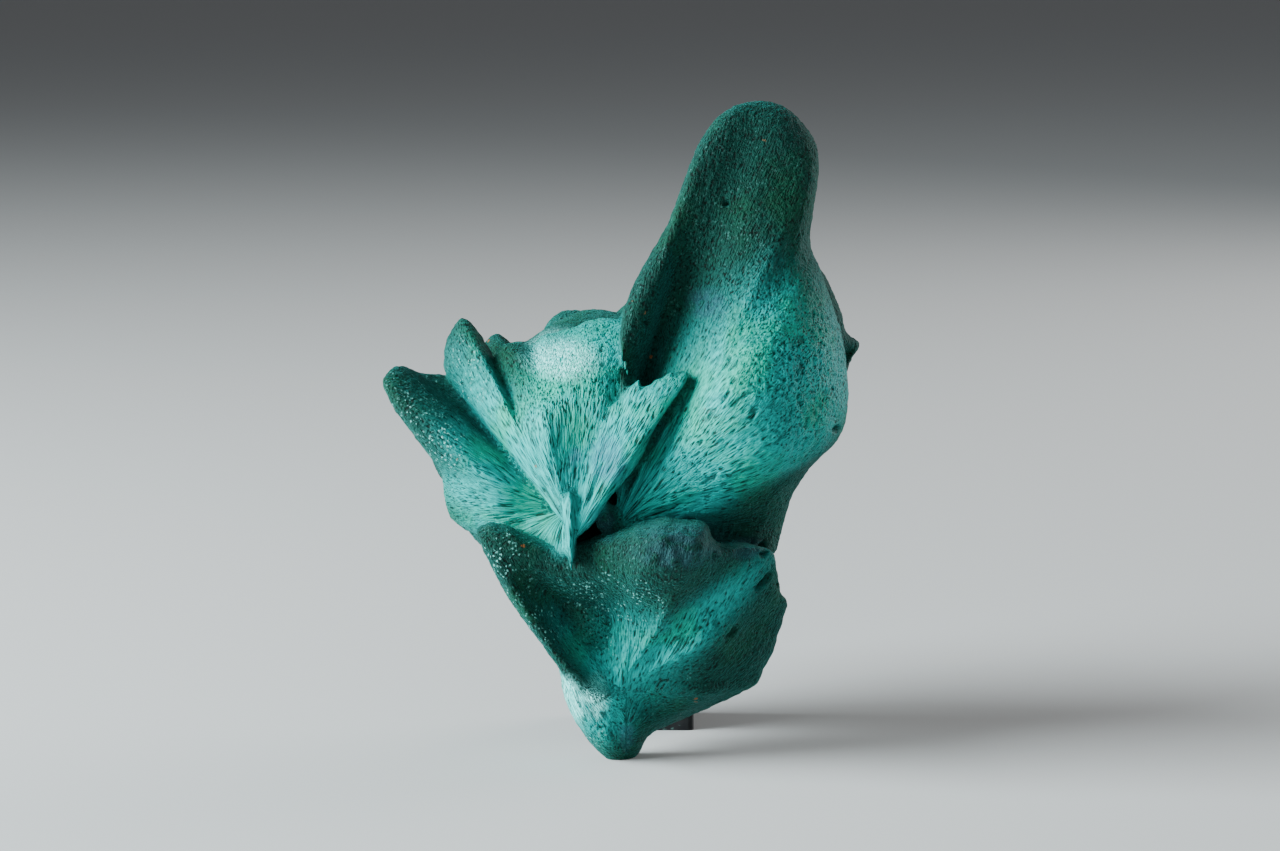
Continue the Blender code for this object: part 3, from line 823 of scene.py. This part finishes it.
away = points - root
pleats = fibre_noise(away, PLEAT[0], PLEAT[1], 11)
bundles = fibre_noise(away, BUNDLE[0], BUNDLE[1], 12)
strands = fibre_noise(away, STRAND[0], STRAND[1], 13)
grains = noise(points / GRAIN[0], 14)
crumbs = noise(points / CRUST[0], 17) + 0.5 * noise(2.0 * points / CRUST[0], 18)
slits = smoothstep(0.3, 0.7, fibre_noise(away, SLIT[0], SLIT[1], 15))
slits *= smoothstep(-0.35, 0.35, noise(points / 4.0, 16)) * silk
rise = PLEAT[2] * pleats
rise += BUNDLE[2] * bundles * (0.25 + 0.75 * silk)
rise += STRAND[2] * strands * (0.45 + 0.55 * silk)
rise += GRAIN[1] * grains * (1.0 - 0.8 * silk)
rise += CRUST[1] * crumbs * bloom * (1.0 - silk)
rise -= SLIT[2] * slits + cracks + pits
rise *= smoothstep(*FOOT_SMOOTH, points[:, 2])
points = points + rise[:, None] * outward
points[:, 2] = np.maximum(points[:, 2], 0.0)
skin.vertices.foreach_set("co", (points * MM).ravel())
skin.update()
print("relief from", rise.min().round(2), "to", rise.max().round(2), "mm")


# %% Store what the material needs
def store(mesh, name, values):
    """Keeps one number or vector per point under a name that the material can read."""
    kind = "FLOAT_VECTOR" if values.ndim == 2 else "FLOAT"
    layer = mesh.attributes.new(name, kind, "POINT")
    layer.data.foreach_set("vector" if values.ndim == 2 else "value", values.ravel())


store(skin, "root", root)
store(skin, "silk", silk)
store(skin, "bloom", bloom)
store(skin, "painted_highlight", painted_highlight)
store(skin, "painted_glints", painted_glints)
# Painted shade for the finish: how dark the slits, cracks and pits are painted
store(skin, "dark", np.clip(0.9 * slits + 2.0 * (cracks + pits), 0.0, 1.0))
skin.shade_smooth()
stone = bpy.data.objects.new("malachite_stone", skin)
bpy.context.scene.collection.objects.link(stone)
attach(stone, "root")
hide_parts("velvet_malachite")
print("stone ready:", len(skin.vertices), "points,", len(skin.polygons), "faces")

# %% [markdown]
# ## Node helpers
# A material is a small machine of nodes. These helpers add one node each, so that a recipe below
# reads from top to bottom like the recipe for a glaze.


# %% Node helpers
def put(tree, socket, value):
    """Links a socket to another, or sets a number or a colour on it."""
    if isinstance(value, bpy.types.NodeSocket):
        tree.links.new(value, socket)
    else:
        socket.default_value = value


def calc(tree, how, a, b=0.0, clamp=False):
    """A Math node."""
    node = tree.nodes.new("ShaderNodeMath")
    node.operation = how
    node.use_clamp = clamp
    put(tree, node.inputs[0], a)
    put(tree, node.inputs[1], b)
    return node.outputs[0]


def vector(tree, how, a, b=(0.0, 0.0, 0.0)):
    """A Vector Math node with a vector result."""
    node = tree.nodes.new("ShaderNodeVectorMath")
    node.operation = how
    put(tree, node.inputs[0], a)
    put(tree, node.inputs[1], b)
    return node.outputs[0]


def scaled(tree, a, scale):
    """A vector times a number."""
    node = tree.nodes.new("ShaderNodeVectorMath")
    node.operation = "SCALE"
    put(tree, node.inputs[0], a)
    put(tree, node.inputs["Scale"], scale)
    return node.outputs[0]


def mixed(tree, share, a, b):
    """A colour between two colours."""
    node = tree.nodes.new("ShaderNodeMix")
    node.data_type = "RGBA"
    put(tree, node.inputs[0], share)
    put(tree, node.inputs[6], a)
    put(tree, node.inputs[7], b)
    return node.outputs[2]


def mix_value(tree, share, a, b):
    """A number between two numbers."""
    node = tree.nodes.new("ShaderNodeMix")
    put(tree, node.inputs[0], share)
    put(tree, node.inputs[2], a)
    put(tree, node.inputs[3], b)
    return node.outputs[0]


def between(tree, low, high, value, start=0.0, end=1.0):
    """A Map Range node with smooth ends: low becomes start, and high becomes end."""
    node = tree.nodes.new("ShaderNodeMapRange")
    node.interpolation_type = "SMOOTHSTEP"
    for name, number in (("From Min", low), ("From Max", high), ("To Min", start), ("To Max", end)):
        put(tree, node.inputs[name], number)
    put(tree, node.inputs["Value"], value)
    return node.outputs[0]


def cloud(tree, where, scale, detail=2.0):
    """A Noise Texture, from 0 to 1."""
    node = tree.nodes.new("ShaderNodeTexNoise")
    put(tree, node.inputs["Vector"], where)
    put(tree, node.inputs["Scale"], scale)
    node.inputs["Detail"].default_value = detail
    return node.outputs[0]


def attribute(tree, name, out="Fac"):
    """What was stored under this name for each point."""
    node = tree.nodes.new("ShaderNodeAttribute")
    node.attribute_name = name
    return node.outputs[out]


def millimetres(tree):
    """Where a point is on the object, in millimetres."""
    node = tree.nodes.new("ShaderNodeTexCoord")
    return scaled(tree, node.outputs["Object"], 1.0 / MM)


def new_group(name, inputs, outputs):
    """An empty node group with named sockets, and its two end nodes."""
    group = bpy.data.node_groups.new(name, "ShaderNodeTree")
    for way, sockets in (("INPUT", inputs), ("OUTPUT", outputs)):
        for label, kind in sockets:
            group.interface.new_socket(name=label, in_out=way, socket_type="NodeSocket" + kind)
    return group, group.nodes.new("NodeGroupInput"), group.nodes.new("NodeGroupOutput")


def use(tree, group, **values):
    """Places a group in a tree, with its inputs set by name."""
    node = tree.nodes.new("ShaderNodeGroup")
    node.node_tree = group
    for name, value in values.items():
        put(tree, node.inputs[name], value)
    return node.outputs[0]


print("helpers ready")

# %% [markdown]
# ## Fibres as a node group
# The same rule as for the relief, now in nodes, for fibres too thin for the mesh. Here too the
# streaks are longer near the root. The group is used for the strands and again for the hairs,
# with other widths and lengths.


# %% Fibre group
def fibre_group():
    """Streaks from 0 to 1 that run away from a root, of a given width and length."""
    kinds = [("Place", "Vector"), ("Root", "Vector"), ("Width", "Float"), ("Length", "Float")]
    group, start, end = new_group("fibres", kinds, [("Height", "Float")])
    place, source, width, length = start.outputs[:4]
    offset = vector(group, "SUBTRACT", place, source)
    measure = group.nodes.new("ShaderNodeVectorMath")
    measure.operation = "LENGTH"
    put(group, measure.inputs[0], offset)
    radius = calc(group, "MAXIMUM", measure.outputs["Value"], 0.05)
    direction = vector(group, "NORMALIZE", offset)
    turns = calc(group, "MAXIMUM", calc(group, "DIVIDE", radius, width), 1.0)
    level = calc(group, "LOGARITHM", turns, 2.0)
    whole = calc(group, "FLOOR", level)
    fade = calc(group, "SUBTRACT", level, whole)
    low = calc(group, "POWER", 2.0, whole)
    part_way = calc(group, "MINIMUM", calc(group, "DIVIDE", radius, 2.0 * STRAIGHT), 1.0)
    along = calc(group, "MULTIPLY", calc(group, "DIVIDE", radius, length), part_way)
    coarse = cloud(group, scaled(group, direction, calc(group, "ADD", low, along)), 1.0, 1.0)
    double = calc(group, "MULTIPLY", low, 2.0)
    fine = cloud(group, scaled(group, direction, calc(group, "ADD", double, along)), 1.0, 1.0)
    finer = calc(group, "MULTIPLY", fine, fade)
    coarser = calc(group, "MULTIPLY", coarse, calc(group, "SUBTRACT", 1.0, fade))
    put(group, end.inputs[0], calc(group, "ADD", finer, coarser))
    return group


FIBRES = fibre_group()
print("group:", FIBRES.name, "nodes:", len(FIBRES.nodes))

# %% [markdown]
# ## Specks as a node group
# White specks are painted glints on broken fibre ends, and a few grains of iron stain are orange. Both
# are single small cells of a Voronoi pattern: only cells whose random number is high enough show. The
# prop uses the same group for dust.


# %% Speck group
def speck_group():
    """Small single specks of a given size. Amount is the share of cells that show one."""
    kinds = [("Place", "Vector"), ("Size", "Float"), ("Amount", "Float")]
    group, start, end = new_group("specks", kinds, [("Mask", "Float")])
    place, size, amount = start.outputs[:3]
    cells = group.nodes.new("ShaderNodeTexVoronoi")
    cells.inputs["Scale"].default_value = 1.0
    even = scaled(group, place, calc(group, "DIVIDE", 1.0, size))
    wobble = group.nodes.new("ShaderNodeTexNoise")
    wobble.inputs["Scale"].default_value = 1.6
    put(group, wobble.inputs["Vector"], even)
    shift = vector(group, "SUBTRACT", wobble.outputs["Color"], (0.5, 0.5, 0.5))
    put(group, cells.inputs["Vector"], vector(group, "ADD", even, scaled(group, shift, 1.2)))
    channels = group.nodes.new("ShaderNodeSeparateColor")
    put(group, channels.inputs[0], cells.outputs["Color"])
    chosen = calc(group, "GREATER_THAN", channels.outputs[0], calc(group, "SUBTRACT", 1.0, amount))
    near = between(group, 0.2, 0.5, cells.outputs["Distance"], 1.0, 0.0)
    put(group, end.inputs[0], calc(group, "MULTIPLY", chosen, near))
    return group


SPECKS = speck_group()
print("group:", SPECKS.name, "nodes:", len(SPECKS.nodes))

# %% [markdown]
# ## The stone's finish
# Silk is painted pale on the flanks of its fibres as a painted highlight and nearly black in the
# slits as painted shade, and velvet gets the same painted light and shade in darker colours. Velvet is
# dark seen face on and light at a grazing angle, which is what the sheen is for. Everything else is
# painted over these two: painted highlights, bloom, painted shade in slits, cracks and pits, painted
# glints and orange grains.


# %% Malachite
def shader_of(material):
    """A material's node tree and its main shader."""
    material.use_nodes = True
    return material.node_tree, material.node_tree.nodes["Principled BSDF"]


def malachite():
    """Silk and velvet with painted light and shade, with painted highlights, bloom, painted shade,
    painted glints and iron stain over them.
    """
    material = bpy.data.materials.new("malachite_fibres")
    tree, shader = shader_of(material)
    place = millimetres(tree)
    source = attribute(tree, "root", "Vector")
    silkiness = attribute(tree, "silk")
    strand = use(tree, FIBRES, Place=place, Root=source, Width=0.14, Length=0.7)
    hair = use(tree, FIBRES, Place=place, Root=source, Width=0.09, Length=1.8)
    strand = between(tree, 0.32, 0.6, strand)
    grain = between(tree, 0.35, 0.65, cloud(tree, place, 5.0, 2.0))
    ragged = mix_value(tree, 0.35, strand, hair)
    velvet = mix_value(tree, 0.5, strand, grain)
    height = mix_value(tree, silkiness, velvet, ragged)
    slit = between(tree, 0.16, 0.42, height)
    swell = between(tree, 0.36, 0.95, height)
    # Painted light and shade: fibre ridges get a painted highlight and slits painted shade, so each
    # colour below comes as a painted-shade and a painted-light copy
    painted_light_share = mix_value(tree, 0.4, slit, swell)

    tone = cloud(tree, place, 0.22, 3.0)
    green = between(tree, 0.42, 0.68, tone)
    velvet_painted_shade = mixed(tree, green, (0.001, 0.008, 0.0055, 1.0), (0.0008, 0.009, 0.0045, 1.0))
    velvet_painted_light = mixed(tree, green, (0.002, 0.050, 0.037, 1.0), (0.0015, 0.058, 0.031, 1.0))
    silk_painted_shade = mixed(tree, green, (0.0, 0.036, 0.028, 1.0), (0.0, 0.046, 0.026, 1.0))
    silk_painted_light = mixed(tree, green, (0.0, 0.42, 0.39, 1.0), (0.0, 0.40, 0.28, 1.0))
    velvet_colour = mixed(tree, painted_light_share, velvet_painted_shade, velvet_painted_light)
    silk_colour = mixed(tree, painted_light_share, silk_painted_shade, silk_painted_light)
    colour = mixed(tree, silkiness, velvet_colour, silk_colour)

    # Painted highlight: near-white streaks where the fans face the window light
    painted_highlight_share = calc(tree, "MULTIPLY", attribute(tree, "painted_highlight"), between(tree, 0.36, 0.6, hair))
    colour = mixed(tree, calc(tree, "MULTIPLY", painted_highlight_share, 0.85), colour, (0.26, 0.92, 0.86, 1.0))
    bloom_colour = mixed(tree, silkiness, (0.014, 0.05, 0.062, 1.0), (0.03, 0.20, 0.25, 1.0))
    patches = between(tree, 0.3, 0.55, cloud(tree, place, 1.4))
    film = calc(tree, "MULTIPLY", attribute(tree, "bloom"), patches)
    colour = mixed(tree, calc(tree, "MULTIPLY", film, 0.7), colour, bloom_colour)
    # Painted shade: slits, cracks and pits are darkened towards black
    painted_gap_shade = calc(tree, "MULTIPLY", attribute(tree, "dark"), 0.8)
    colour = mixed(tree, painted_gap_shade, colour, (0.002, 0.02, 0.015, 1.0))

    # Painted glints: white specks painted on broken fibre ends as painted reflection, denser in the
    # marked places; these specks are also made glossier
    painted_glint = use(tree, SPECKS, Place=place, Size=0.22, Amount=0.36)
    painted_glint = calc(tree, "MULTIPLY", painted_glint, between(tree, 0.35, 0.6, cloud(tree, place, 0.8)))
    plenty = calc(tree, "ADD", attribute(tree, "painted_glints"), 0.12)
    painted_glint = calc(tree, "MULTIPLY", painted_glint, plenty, clamp=True)
    colour = mixed(tree, calc(tree, "MULTIPLY", painted_glint, 0.65), colour, (0.28, 0.85, 0.76, 1.0))
    rust = use(tree, SPECKS, Place=place, Size=0.4, Amount=0.004)
    rust = calc(tree, "MULTIPLY", rust, between(tree, 0.5, 0.6, cloud(tree, place, 0.12, 0.0)))
    colour = mixed(tree, calc(tree, "MULTIPLY", rust, 0.6), colour, (0.45, 0.13, 0.03, 1.0))
    put(tree, shader.inputs["Base Color"], colour)

    rough = mix_value(tree, silkiness, 0.72, 0.45)
    rough = calc(tree, "SUBTRACT", rough, calc(tree, "MULTIPLY", painted_glint, 0.35))
    put(tree, shader.inputs["Roughness"], rough)
    shader.inputs["Specular IOR Level"].default_value = 0.12
    shader.inputs["Sheen Weight"].default_value = 0.24
    shader.inputs["Sheen Roughness"].default_value = 0.35
    shader.inputs["Sheen Tint"].default_value = (0.06, 0.8, 0.74, 1.0)

    bump = tree.nodes.new("ShaderNodeBump")
    bump.inputs["Strength"].default_value = 1.0
    bump.inputs["Distance"].default_value = 0.12 * MM
    put(tree, bump.inputs["Height"], calc(tree, "ADD", height, calc(tree, "MULTIPLY", painted_glint, 0.3)))
    put(tree, shader.inputs["Normal"], bump.outputs[0])
    return material


skin.materials.clear()
skin.materials.append(malachite())
print("stone finish:", skin.materials[0].name)

# %% [markdown]
# ## The prop's finish
# The prop is a block of black rubber. It is matt, a little worn on its faces, and dusted with
# crumbs of stone.


# %% Black rubber
def black_rubber():
    """Matt black rubber with worn patches and a few crumbs of stone."""
    material = bpy.data.materials.new("black_rubber_matt")
    tree, shader = shader_of(material)
    place = millimetres(tree)
    wear = between(tree, 0.4, 0.7, cloud(tree, place, 0.6, 4.0))
    colour = mixed(tree, wear, (0.006, 0.007, 0.008, 1.0), (0.018, 0.019, 0.02, 1.0))
    dust = use(tree, SPECKS, Place=place, Size=0.28, Amount=0.015)
    colour = mixed(tree, calc(tree, "MULTIPLY", dust, 0.5), colour, (0.10, 0.22, 0.19, 1.0))
    put(tree, shader.inputs["Base Color"], colour)
    put(tree, shader.inputs["Roughness"], mix_value(tree, wear, 0.52, 0.75))
    shader.inputs["Specular IOR Level"].default_value = 0.2
    bump = tree.nodes.new("ShaderNodeBump")
    bump.inputs["Strength"].default_value = 0.6
    bump.inputs["Distance"].default_value = 0.05 * MM
    put(tree, bump.inputs["Height"], cloud(tree, place, 5.0, 4.0))
    put(tree, shader.inputs["Normal"], bump.outputs[0])
    return material


prop = bpy.data.objects["rear_prop"]
prop.data.materials.clear()
prop.data.materials.append(black_rubber())
print("prop finish:", prop.data.materials[0].name)
